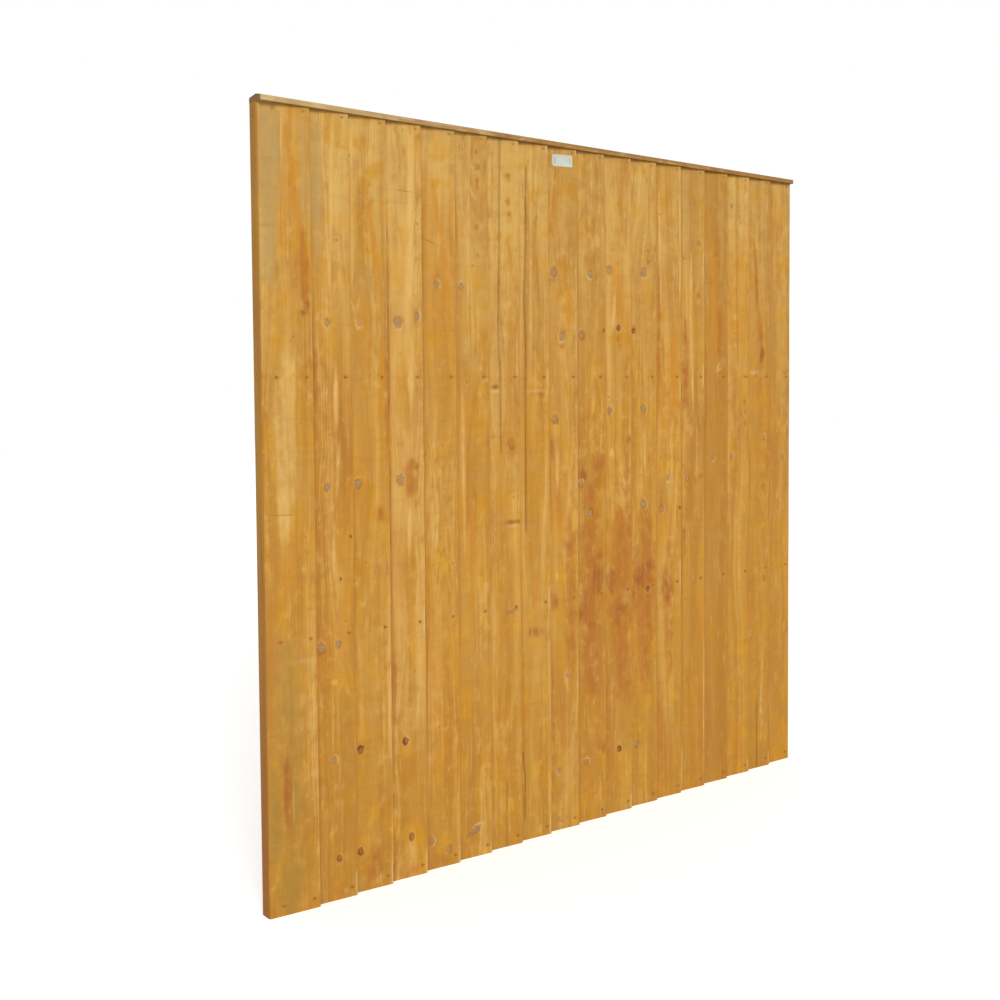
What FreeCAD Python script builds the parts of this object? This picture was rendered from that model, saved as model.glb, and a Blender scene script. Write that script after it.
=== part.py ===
import math
import os

import FreeCAD
import Part

V = FreeCAD.Vector

# The whole panel, in millimetres. It stands on z = 0 with its boarded front facing -Y.
panel_width = 1830.0            # over the outer faces of the two uprights
panel_height = 1830.0           # from the foot to the ridge of the capping rail

# Feather-edge boards, each with its thick edge on the right, over the thin edge of the next.
board_width = 122.0
board_thick_edge = 11.0
board_thin_edge = 4.0
board_least_lap = 20.0          # the boards are spaced so that no lap is narrower than this
board_set_in = 2.0              # from an upright's outer face to the nearest board edge
board_arris = 1.2               # flat on the front corner of the thick edge

# Frame behind the boards.
frame_depth = 30.0
upright_width = 45.0
rail_height = 45.0
lower_rail_centre = 622.5       # above the foot; the other two rails lie flush with foot and head
upper_rail_centre = 1214.0
frame_arris = 1.0               # flat on the long corners of uprights and rails

# Capping rail, flush with the back of the frame and standing out in front of the boards.
cap_edge = 12.0                 # height of its front and back edges
cap_rise = 4.0                  # from those edges up to the ridge
cap_ridge_setback = 20.0        # from the front edge back to the ridge
cap_overhang = 4.0              # past the proudest board edge
cap_arris = 1.0

# Nails that hold the boards. They stand square to the face of the board.
nail_shank = 2.6
nail_length = 35.0              # under the head
nail_head = 6.0                 # across the head
nail_head_height = 1.0
nail_from_thick_edge = 16.0
nail_from_thin_edge = 34.0      # the second nail that only the first board has on each rail
nail_from_head = 10.0           # the top row, close under the capping rail

# Finer nails with small heads, sunk below the wood, in the frame joints and the capping rail.
brad_shank = 2.6
brad_head = 4.4
brad_head_height = 1.2
brad_sink = 1.5                 # from the wood down to the top of the head
frame_brad_length = 70.0
frame_brad_spacing = 14.0       # between the two in one joint
cap_brad_length = 40.0
boards_per_cap_brad = 3


# Sizes that follow from those above.
board_length = panel_height - cap_edge - cap_rise
board_run = panel_width - 2 * board_set_in
board_count = math.ceil((board_run - board_width) / (board_width - board_least_lap)) + 1
board_pitch = (board_run - board_width) / (board_count - 1)
taper = math.atan2(board_thick_edge - board_thin_edge, board_width)


def board_leans():
    """Angle of each board's back to the frame, from left to right."""
    # The last board lies flat on the frame. Every other one stands on the frame at its thin edge
    # and rests the back corner of its thick edge on the face of the next board.
    leans = [0.0]
    while len(leans) < board_count:
        face = leans[0] + taper
        rise = board_thin_edge * math.cos(taper) - board_pitch * math.sin(face)
        leans.insert(0, face + math.asin(rise / board_width))
    return leans


leans = board_leans()
boards_depth = max(
    board_width * math.sin(lean) + board_thick_edge * math.cos(lean) for lean in leans
)
overall_depth = cap_overhang + boards_depth + frame_depth

left = -panel_width / 2
right = panel_width / 2
frame_back = overall_depth / 2
frame_front = frame_back - frame_depth
frame_middle = (frame_front + frame_back) / 2
cap_front = -overall_depth / 2

rail_centres = {
    "bottom_rail": rail_height / 2,
    "lower_rail": lower_rail_centre,
    "upper_rail": upper_rail_centre,
    "top_rail": board_length - rail_height / 2,
}
nail_rows = [
    rail_centres["bottom_rail"], lower_rail_centre, upper_rail_centre, board_length - nail_from_head,
]


def prism(points, direction):
    """Solid swept from a flat outline along a straight line."""
    outline = Part.makePolygon([*points, points[0]])
    return Part.Face(outline).extrude(direction)


def eased(width, depth, arris):
    """Corners of a rectangle, from (0, 0), with a small flat on each corner."""
    return [
        (arris, 0), (width - arris, 0), (width, arris), (width, depth - arris),
        (width - arris, depth), (arris, depth), (0, depth - arris), (0, arris),
    ]


def nail(head, head_height, shank, length):
    """Nail with its point down and the underside of its head at the origin."""
    radius = head / 2 / math.cos(math.pi / 8)
    corners = [math.pi / 8 + i * math.pi / 4 for i in range(8)]
    rim = [V(radius * math.cos(a), radius * math.sin(a), 0) for a in corners]
    stem = Part.makeBox(shank, shank, length, V(-shank / 2, -shank / 2, -length))
    return prism(rim, V(0, 0, head_height)).fuse(stem).removeSplitter().Solids[0]


def driven(shape, place, outward):
    """Copy of a nail set at a place, with its head towards the outward direction."""
    copy = shape.copy()
    copy.Placement = FreeCAD.Placement(place, FreeCAD.Rotation(V(0, 0, 1), outward))
    return copy


def bored(piece, *tools):
    """Piece with a hole for every nail that runs into it."""
    hits = [tool for tool in tools if piece.BoundBox.intersect(tool.BoundBox)]
    return piece.cut(hits).removeSplitter().Solids[0] if hits else piece


def board_place(index):
    """Where a board's back corner at the thin edge stands, and how far the board leans."""
    corner = V(left + board_set_in + index * board_pitch, frame_front, 0)
    return FreeCAD.Placement(corner, FreeCAD.Rotation(V(0, 0, 1), -math.degrees(leans[index])))


def board(index):
    thick_face = board_thick_edge - board_arris
    front_end = board_width - board_arris
    front_edge = board_thin_edge + front_end * math.tan(taper)
    section = [
        V(0, 0, 0), V(0, -board_thin_edge, 0), V(front_end, -front_edge, 0),
        V(board_width, -thick_face, 0), V(board_width, 0, 0),
    ]
    shape = prism(section, V(0, 0, board_length))
    shape.Placement = board_place(index)
    return shape


def board_nails(index):
    """Nails of one board: near its thick edge on each rail, and two a rail on the first board."""
    pattern = nail(nail_head, nail_head_height, nail_shank, nail_length)
    distances = [board_width - nail_from_thick_edge]
    if index == 0:
        distances.insert(0, nail_from_thin_edge)
    place = board_place(index)
    outward = place.Rotation.multVec(V(-math.sin(taper), -math.cos(taper), 0))
    nails = []
    for height in nail_rows:
        for across in distances:
            face = V(across, -board_thin_edge - across * math.tan(taper), height)
            nails.append(driven(pattern, place.multVec(face), outward))
    return nails


def upright(outer, inward):
    """Side upright, from an outer face at x = outer."""
    section = eased(upright_width, frame_depth, frame_arris)
    points = [V(outer + inward * x, frame_front + y, 0) for x, y in section]
    return prism(points, V(0, 0, board_length))


def rail(centre):
    """Rail that fits between the uprights."""
    section = eased(frame_depth, rail_height, frame_arris)
    bottom = centre - rail_height / 2
    start = left + upright_width
    points = [V(start, frame_front + y, bottom + z) for y, z in section]
    return prism(points, V(panel_width - 2 * upright_width, 0, 0))


def capping_rail():
    """Cap with two slopes that meet at a ridge, so that rain runs off both ways."""
    shoulder = board_length + cap_edge
    ridge = cap_front + cap_ridge_setback
    section = [
        (cap_front, board_length), (cap_front, shoulder - cap_arris),
        (cap_front + cap_arris, shoulder), (ridge, shoulder + cap_rise),
        (frame_back - cap_arris, shoulder), (frame_back, shoulder - cap_arris),
        (frame_back, board_length),
    ]
    return prism([V(left, y, z) for y, z in section], V(panel_width, 0, 0))


def frame_brads(head_height):
    """Nails through each upright into the ends of the rails, with heads of the given height."""
    pattern = nail(brad_head, head_height, brad_shank, frame_brad_length)
    depth = brad_sink + brad_head_height
    brads = []
    for outer, outward in ((left, -1), (right, 1)):
        for centre in rail_centres.values():
            for lift in (-frame_brad_spacing / 2, frame_brad_spacing / 2):
                seat = V(outer - outward * depth, frame_middle, centre + lift)
                brads.append(driven(pattern, seat, V(outward, 0, 0)))
    return brads


def cap_brads(head_height):
    """Nails down through the capping rail, midway between the nails of the boards below."""
    pattern = nail(brad_head, head_height, brad_shank, cap_brad_length)
    seat = board_length + cap_edge - brad_sink - brad_head_height
    first = left + board_set_in + board_width - nail_from_thick_edge + board_pitch / 2
    steps = range(0, board_count - 1, boards_per_cap_brad)
    places = [V(first + i * board_pitch, frame_middle, seat) for i in steps]
    return [driven(pattern, place, V(0, 0, 1)) for place in places]


nails = [one for i in range(board_count) for one in board_nails(i)]

# A sunk nail's hole is the nail itself with a head tall enough to reach out of the wood.
sunk_head = brad_head_height + brad_sink
frame_holes = frame_brads(sunk_head)
cap_holes = cap_brads(sunk_head + cap_rise)

parts = {}
for i in range(board_count):
    parts[f"board_{i + 1:02d}"] = bored(board(i), *nails)
parts["upright_left"] = bored(upright(left, 1), *nails, *frame_holes)
parts["upright_right"] = bored(upright(right, -1), *nails, *frame_holes)
for name, centre in rail_centres.items():
    parts[name] = bored(rail(centre), *nails, *frame_holes, *cap_holes)
parts["capping_rail"] = bored(capping_rail(), *cap_holes)
parts["board_nails"] = Part.makeCompound(nails)
parts["frame_nails"] = Part.makeCompound(frame_brads(brad_head_height))
parts["cap_nails"] = Part.makeCompound(cap_brads(brad_head_height))

os.makedirs("parts", exist_ok=True)
for name, shape in parts.items():
    shape.exportStep(f"parts/{name}.step")
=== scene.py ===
import math

import bmesh
import bpy
import numpy as np
from mathutils import Matrix, Vector


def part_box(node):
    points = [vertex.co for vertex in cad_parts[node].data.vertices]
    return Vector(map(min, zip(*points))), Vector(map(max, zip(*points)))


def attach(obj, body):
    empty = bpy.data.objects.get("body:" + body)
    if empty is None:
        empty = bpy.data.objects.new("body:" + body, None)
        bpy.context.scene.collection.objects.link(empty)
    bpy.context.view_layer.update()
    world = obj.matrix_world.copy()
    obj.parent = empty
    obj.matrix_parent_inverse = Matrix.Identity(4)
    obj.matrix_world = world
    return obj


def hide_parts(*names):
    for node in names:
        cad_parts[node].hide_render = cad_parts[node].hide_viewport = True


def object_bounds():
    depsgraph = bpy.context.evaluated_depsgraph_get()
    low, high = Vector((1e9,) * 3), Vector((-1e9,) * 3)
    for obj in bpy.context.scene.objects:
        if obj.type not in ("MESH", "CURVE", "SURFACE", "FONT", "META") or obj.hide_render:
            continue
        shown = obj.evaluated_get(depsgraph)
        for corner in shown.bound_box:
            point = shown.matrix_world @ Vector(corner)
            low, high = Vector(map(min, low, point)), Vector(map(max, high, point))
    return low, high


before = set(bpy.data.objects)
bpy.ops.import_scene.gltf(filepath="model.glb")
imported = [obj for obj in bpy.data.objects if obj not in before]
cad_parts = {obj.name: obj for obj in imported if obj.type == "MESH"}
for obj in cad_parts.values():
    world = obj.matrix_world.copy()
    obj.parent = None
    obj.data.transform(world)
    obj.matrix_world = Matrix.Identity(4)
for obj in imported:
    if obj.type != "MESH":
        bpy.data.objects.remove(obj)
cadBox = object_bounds()   # the CAD box, before any piece is added
print("frame loaded:", len(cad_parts), "nodes")


# A socket in a node tree. Sums on it add Math nodes, and add() makes any other node.
class Wire:
    def __init__(self, tree, socket=None):
        self.tree = tree
        self.socket = socket

    def add(self, kind, settings=None, values=None, out=0):
        node = self.tree.nodes.new(kind)
        for name, value in (settings or {}).items():
            if name == "items":   # how many choices an Index Switch has
                while len(node.index_switch_items) < value:
                    node.index_switch_items.new()
            else:
                setattr(node, name, value)
        for name, value in (values or {}).items():
            if isinstance(value, Wire):
                self.tree.links.new(value.socket, node.inputs[name])
            else:
                node.inputs[name].default_value = value
        return Wire(self.tree, node.outputs[out])

    # one Math node on wires and numbers
    def maths(self, operation, *values):
        return self.add("ShaderNodeMath", {"operation": operation}, dict(enumerate(values)))

    def calc(self, operation, *others):
        return self.maths(operation, self, *others)

    def __add__(self, other):
        return self.calc("ADD", other)

    def __sub__(self, other):
        return self.calc("SUBTRACT", other)

    def __rsub__(self, other):
        return self.maths("SUBTRACT", other, self)

    def __mul__(self, other):
        return self.calc("MULTIPLY", other)

    def __truediv__(self, other):
        return self.calc("DIVIDE", other)

    def __rtruediv__(self, other):
        return self.maths("DIVIDE", other, self)

    __radd__ = __add__
    __rmul__ = __mul__

    # 0 up to low, 1 from high on; low may be the larger one
    def ease(self, low, high):
        steps = {"Value": self, "From Min": low, "From Max": high}
        return self.add("ShaderNodeMapRange", {"interpolation_type": "SMOOTHSTEP"}, steps)

    # 1 at the middle, down to 0 at reach on both sides
    def near(self, middle, reach):
        return (self - middle).calc("ABSOLUTE").ease(reach, 0)

    def vector(self, x, y, z):
        return self.add("ShaderNodeCombineXYZ", None, {0: x, 1: y, 2: z})

    def parts(self):
        split = self.add("ShaderNodeSeparateXYZ", None, {0: self})
        return [Wire(self.tree, out) for out in split.socket.node.outputs]

    def noise(self, detail=2.0, roughness=0.5):
        values = {"Vector": self, "Scale": 1.0, "Detail": detail, "Roughness": roughness}
        return self.add("ShaderNodeTexNoise", None, values)

    # a colour that goes from one to another as self goes from 0 to 1
    def between(self, first, second):
        values = {0: self, 6: (*first, 1), 7: (*second, 1)}
        return self.add("ShaderNodeMix", {"data_type": "RGBA"}, values, out=2)

    # self is a colour here, and the other one covers a share of it
    def tinted(self, other, share):
        values = {0: share, 6: self, 7: other if isinstance(other, Wire) else (*other, 1)}
        return self.add("ShaderNodeMix", {"data_type": "RGBA", "clamp_factor": True}, values, out=2)

    def attribute(self, name):
        return self.add("ShaderNodeAttribute", {"attribute_name": name}, None, "Vector")

    def bump(self, strength, distance):
        values = {"Strength": strength, "Distance": distance, "Height": self}
        return self.add("ShaderNodeBump", None, values)

    # a colour with named ones of a palette laid over it in turn, each with its share
    def coated(self, palette, layers):
        colour = self
        for name, share in layers:
            colour = colour.tinted(palette[name], share)
        return colour

    def into(self, shader, name):
        self.tree.links.new(self.socket, shader.inputs[name])


def newObject(name, data):
    item = bpy.data.objects.new(name, data)
    bpy.context.scene.collection.objects.link(item)
    return item


def newMaterial(name):
    material = bpy.data.materials.new(name)
    material.use_nodes = True
    return material, Wire(material.node_tree), material.node_tree.nodes["Principled BSDF"]


def objectPlace(root):
    return root.add("ShaderNodeTexCoord", None, None, "Object").parts()


# Smooth, but for edges that turn by more than the angle
def smoothShade(piece, degrees=30):
    piece.data.shade_smooth()
    piece.data.set_sharp_from_angle(angle=math.radians(degrees))


# A new Geometry Nodes tree with named inputs: its root wire, its inputs as wires, its end
def newTree(name, inputs):
    tree = bpy.data.node_groups.new(name, "GeometryNodeTree")
    tree.interface.new_socket("Geometry", in_out="OUTPUT", socket_type="NodeSocketGeometry")
    for label, kind in inputs.items():
        tree.interface.new_socket(label, in_out="INPUT", socket_type="NodeSocket" + kind)
    source = tree.nodes.new("NodeGroupInput")
    sink = tree.nodes.new("NodeGroupOutput")
    wires = {label: Wire(tree, source.outputs[label]) for label in inputs}
    return Wire(tree), wires, sink.inputs["Geometry"]


# Ends a tree: instances become faces, and the faces get their material
def endTree(root, shape, material, end):
    real = root.add("GeometryNodeRealizeInstances", None, {"Geometry": shape})
    done = root.add("GeometryNodeSetMaterial", None, {"Geometry": real, "Material": material})
    root.tree.links.new(done.socket, end)


# Runs a tree on a piece and leaves a plain mesh
def grow(piece, tree, values):
    modifier = piece.modifiers.new(tree.name, "NODES")
    modifier.node_group = tree
    for item in tree.interface.items_tree:
        if item.in_out == "INPUT" and item.name in values:
            modifier[item.identifier] = values[item.name]
    depsgraph = bpy.context.evaluated_depsgraph_get()
    mesh = bpy.data.meshes.new_from_object(
        piece.evaluated_get(depsgraph), preserve_all_data_layers=True, depsgraph=depsgraph
    )
    piece.modifiers.clear()
    piece.data = mesh
    return piece


# The one of a few points in the XY plane that an index stands for
def pickPoint(root, index, points):
    spots = {"Index": index}
    for number, (x, y) in enumerate(points):
        spots[number + 1] = root.vector(x, y, 0.0)
    return root.add("GeometryNodeIndexSwitch", {"data_type": "VECTOR", "items": len(points)}, spots)


# Closed curve through a few points in the XY plane
def outline(root, points):
    pick = pickPoint(root, root.add("GeometryNodeInputIndex"), points)
    dots = root.add("GeometryNodePoints", None, {"Count": len(points), "Position": pick})
    line = root.add("GeometryNodePointsToCurves", None, {"Points": dots})
    return root.add("GeometryNodeSetSplineCyclic", None, {"Geometry": line, "Cyclic": True})


# Camera, found by matching the panel's corners and board edges with the photo
photo = {
    "pixels": 1000,
    "axis": (500, 440),          # where the optical axis meets the picture
    "focalPixels": 1189.4,
    "place": (-2.131, -2.3805, 1.1897),
    "yaw": 38.472,               # to the right of straight at the panel, degrees
    "pitch": -2.573,
    "roll": 0.433,
    "sensor": 36.0,
}


def makeCamera():
    data = bpy.data.cameras.new("photoCamera")
    data.sensor_width = photo["sensor"]
    data.lens = photo["sensor"] * photo["focalPixels"] / photo["pixels"]
    data.shift_x = 0.5 - photo["axis"][0] / photo["pixels"]
    data.shift_y = photo["axis"][1] / photo["pixels"] - 0.5
    camera = newObject("photoCamera", data)
    camera.matrix_world = (
        Matrix.Translation(photo["place"])
        @ Matrix.Rotation(math.radians(-photo["yaw"]), 4, "Z")
        @ Matrix.Rotation(math.radians(90 + photo["pitch"]), 4, "X")
        @ Matrix.Rotation(math.radians(-photo["roll"]), 4, "Z")
    )
    bpy.context.scene.camera = camera
    return camera


camera = makeCamera()
print("camera set:", round(camera.data.lens, 1), "mm lens")


# Plain pale floor, white surroundings and soft light from the front left
studio = {
    "floorSize": 40.0,
    "floorColour": (0.86, 0.86, 0.85),
    "floorRoughness": 0.9,
    "floorLift": 0.49,           # only where it is looked at, so that it runs into the white
    "skyStrength": 0.5,
    "keyStrength": 1.68,
    "keyAngle": 22.0,            # how soft the key's shadows are, degrees
    "keyTurn": -22.0,            # to the right of straight in front, so below 0 is to the left
    "keyHeight": 26.0,
}


# 1 for rays that look at the surroundings: from the camera, reflected or let through
def seenRay(root):
    node = root.add("ShaderNodeLightPath").socket.node
    direct, glossy, through = (
        Wire(root.tree, node.outputs[name])
        for name in ("Is Camera Ray", "Is Glossy Ray", "Is Transmission Ray")
    )
    return direct.calc("MAXIMUM", glossy.calc("MAXIMUM", through))


def makeStudio():
    corner = studio["floorSize"] / 2
    mesh = bpy.data.meshes.new("floor")
    spots = [(-corner, -corner, 0), (corner, -corner, 0), (corner, corner, 0), (-corner, corner, 0)]
    mesh.from_pydata(spots, [], [(0, 1, 2, 3)])
    newObject("floor", mesh)
    material, root, shader = newMaterial("paleFloor")
    mesh.materials.append(material)
    shader.inputs["Base Color"].default_value = (*studio["floorColour"], 1)
    shader.inputs["Roughness"].default_value = studio["floorRoughness"]
    lit = Wire(root.tree, shader.outputs[0])
    glow = root.add("ShaderNodeEmission", None, {"Strength": studio["floorLift"]})
    lifted = root.add("ShaderNodeAddShader", None, {0: lit, 1: glow})
    both = root.add("ShaderNodeMixShader", None, {0: seenRay(root), 1: lit, 2: lifted})
    both.into(root.tree.nodes["Material Output"], "Surface")

    world = bpy.data.worlds.new("whiteStudio")
    world.use_nodes = True
    bpy.context.scene.world = world
    root = Wire(world.node_tree)
    world.node_tree.nodes.remove(world.node_tree.nodes["Background"])
    soft, white = (
        root.add("ShaderNodeBackground", None, {"Color": (1, 1, 1, 1), "Strength": strength})
        for strength in (studio["skyStrength"], 1.0)
    )
    sky = root.add("ShaderNodeMixShader", None, {0: seenRay(root), 1: soft, 2: white})
    sky.into(world.node_tree.nodes["World Output"], "Surface")

    data = bpy.data.lights.new("key", "SUN")
    data.energy = studio["keyStrength"]
    data.angle = math.radians(studio["keyAngle"])
    key = newObject("key", data)
    turn = Matrix.Rotation(math.radians(studio["keyTurn"]), 4, "Z")
    key.matrix_world = turn @ Matrix.Rotation(math.radians(90 - studio["keyHeight"]), 4, "X")
    bpy.context.scene.view_settings.view_transform = "Standard"


makeStudio()
print("studio set")


# Feather-edge boards. Where the frame can give a size it does.
boards = {
    "thickEdge": 0.011,
    "thinEdge": 0.004,
    "arris": 0.0012,
    "columns": 34,               # faces across the front of a board
    "backCuts": 5.0,             # across the back
    "edgeCuts": 2.0,             # across the thick edge
    "rowStep": 0.005,            # height of a row of faces
    "edgeWave": 0.0007,          # how far the thick edge strays
    "edgeFrom": 0.75,            # share of the width where that starts
    "edgeWaves": 3.0,            # how many to a metre
    "faceWave": 0.0004,
    "faceWaves": (14.0, 2.2),    # how many to a metre across and up
    "seedStep": 3.7,             # from board to board
}
boardNames = sorted(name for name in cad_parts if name.startswith("board_") and name[-1].isdigit())
lastLow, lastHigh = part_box(boardNames[-1])
boardCount = len(boardNames)
boardLength = lastHigh.z
boardWidth = lastHigh.x - lastLow.x
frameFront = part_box("upright_left")[0].y
setIn = cadBox[1].x - lastHigh.x
boardStart = cadBox[0].x + setIn
boardPitch = (lastLow.x - boardStart) / (boardCount - 1)
slope = (boards["thickEdge"] - boards["thinEdge"]) / boardWidth
taper = math.atan(slope)


# The last board lies flat, and each other one rests on the face of the next
def boardLeans():
    leans = [0.0]
    while len(leans) < boardCount:
        face = leans[0] + taper
        rise = boards["thinEdge"] * math.cos(taper) - boardPitch * math.sin(face)
        leans.insert(0, face + math.asin(rise / boardWidth))
    return leans


leans = boardLeans()
boardPlaces = [
    Matrix.Translation((boardStart + i * boardPitch, frameFront, 0)) @ Matrix.Rotation(-leans[i], 4, "Z")
    for i in range(boardCount)
]


# Depth of a board's front at a distance from the thin edge, in the board's own frame
def frontAt(across):
    return -boards["thinEdge"] - across * slope


# Where a pixel of the photo falls: board number, distance from the thin edge, height
def onBoard(px, py, only=None):
    centreX, centreY = photo["axis"]
    spot = Vector((px - centreX, centreY - py, -photo["focalPixels"]))
    start = camera.matrix_world.translation
    ray = camera.matrix_world.to_3x3() @ spot
    for number in range(boardCount) if only is None else [only]:
        inward = boardPlaces[number].inverted()
        here, way = inward @ start, inward.to_3x3() @ ray
        hit = here + way * (frontAt(here.x) - here.y) / (way.y + way.x * slope)
        if only is not None or hit.x <= boardWidth:
            return number, hit.x, hit.z
    return boardCount - 1, hit.x, hit.z


# What the photo shows on the boards, in its pixels. Knots: x, y, then radius in mm.
knots = {
    "grey": [
        (327, 323, 8), (398, 323, 12), (417, 316, 9), (437, 284, 8), (461, 286, 8),
        (553, 272, 11), (590, 274, 10), (609, 271, 10), (644, 273, 11), (562, 336, 11), (581, 335, 11),
        (555, 418, 11), (610, 411, 10), (644, 409, 11), (328, 487, 8), (358, 483, 10), (401, 479, 11),
        (321, 648, 12), (338, 644, 8), (581, 484, 9), (590, 513, 10), (644, 504, 11), (668, 478, 8),
        (687, 478, 8), (662, 509, 9), (432, 841, 9), (449, 849, 9), (335, 760, 8), (587, 762, 9),
        (636, 743, 9), (567, 675, 8), (559, 771, 7), (764, 437, 7), (713, 458, 7), (732, 457, 7),
        (783, 457, 7), (716, 204, 6), (732, 206, 6),
    ],
    "dark": [
        (361, 750, 9), (406, 741, 9), (361, 851, 8), (340, 858, 7), (412, 837, 8), (604, 330, 5),
        (619, 328, 8), (634, 331, 7), (680, 507, 5), (648, 589, 7), (619, 749, 8), (351, 536, 4),
        (341, 579, 4),
    ],
    "red": [
        (508, 176, 10), (508, 201, 7), (509, 215, 6), (476, 152, 7), (477, 166, 7), (477, 181, 7),
        (477, 187, 6), (477, 228, 6), (478, 255, 5), (648, 251, 7), (648, 261, 7), (717, 255, 9),
        (699, 243, 8), (745, 402, 7), (745, 412, 6), (745, 424, 7), (764, 485, 9), (764, 579, 9),
        (535, 632, 8), (619, 612, 4), (512, 442, 12), (618, 340, 8), (699, 296, 8), (684, 364, 7),
    ],
    "pale": [
        (360, 321, 12), (754, 373, 9), (785, 369, 9), (785, 627, 10), (751, 634, 9), (625, 602, 9),
    ],
}

# Knots cut along their length: kind, x, y, half width and half length in mm, degrees from upright
leafKnots = [
    ("red", 429, 241.5, 2.5, 24, 110), ("red", 404.5, 191, 1.6, 22, 94), ("red", 713, 283.5, 2, 20, 88),
    ("red", 286, 515, 1.4, 34, 92), ("red", 292, 841, 1.6, 36, 86), ("red", 272, 737, 1.6, 30, 84),
    ("red", 452, 330, 1.6, 12, 100), ("red", 684, 258, 2, 16, 108), ("grey", 475, 831, 10, 25, 60),
    ("grey", 513, 610, 5, 19, 72), ("pale", 723, 363, 9, 27, 45), ("pale", 563, 820, 5, 16, -60),
]
# Small ones strewn on every board: how many, their radius and how far from the edges, in metres
pinKnots = {
    "each": 4, "small": 0.002, "large": 0.0034,
    "fromThinEdge": 0.02, "fromThickEdge": 0.01, "fromEnds": 0.05,
}

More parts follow.
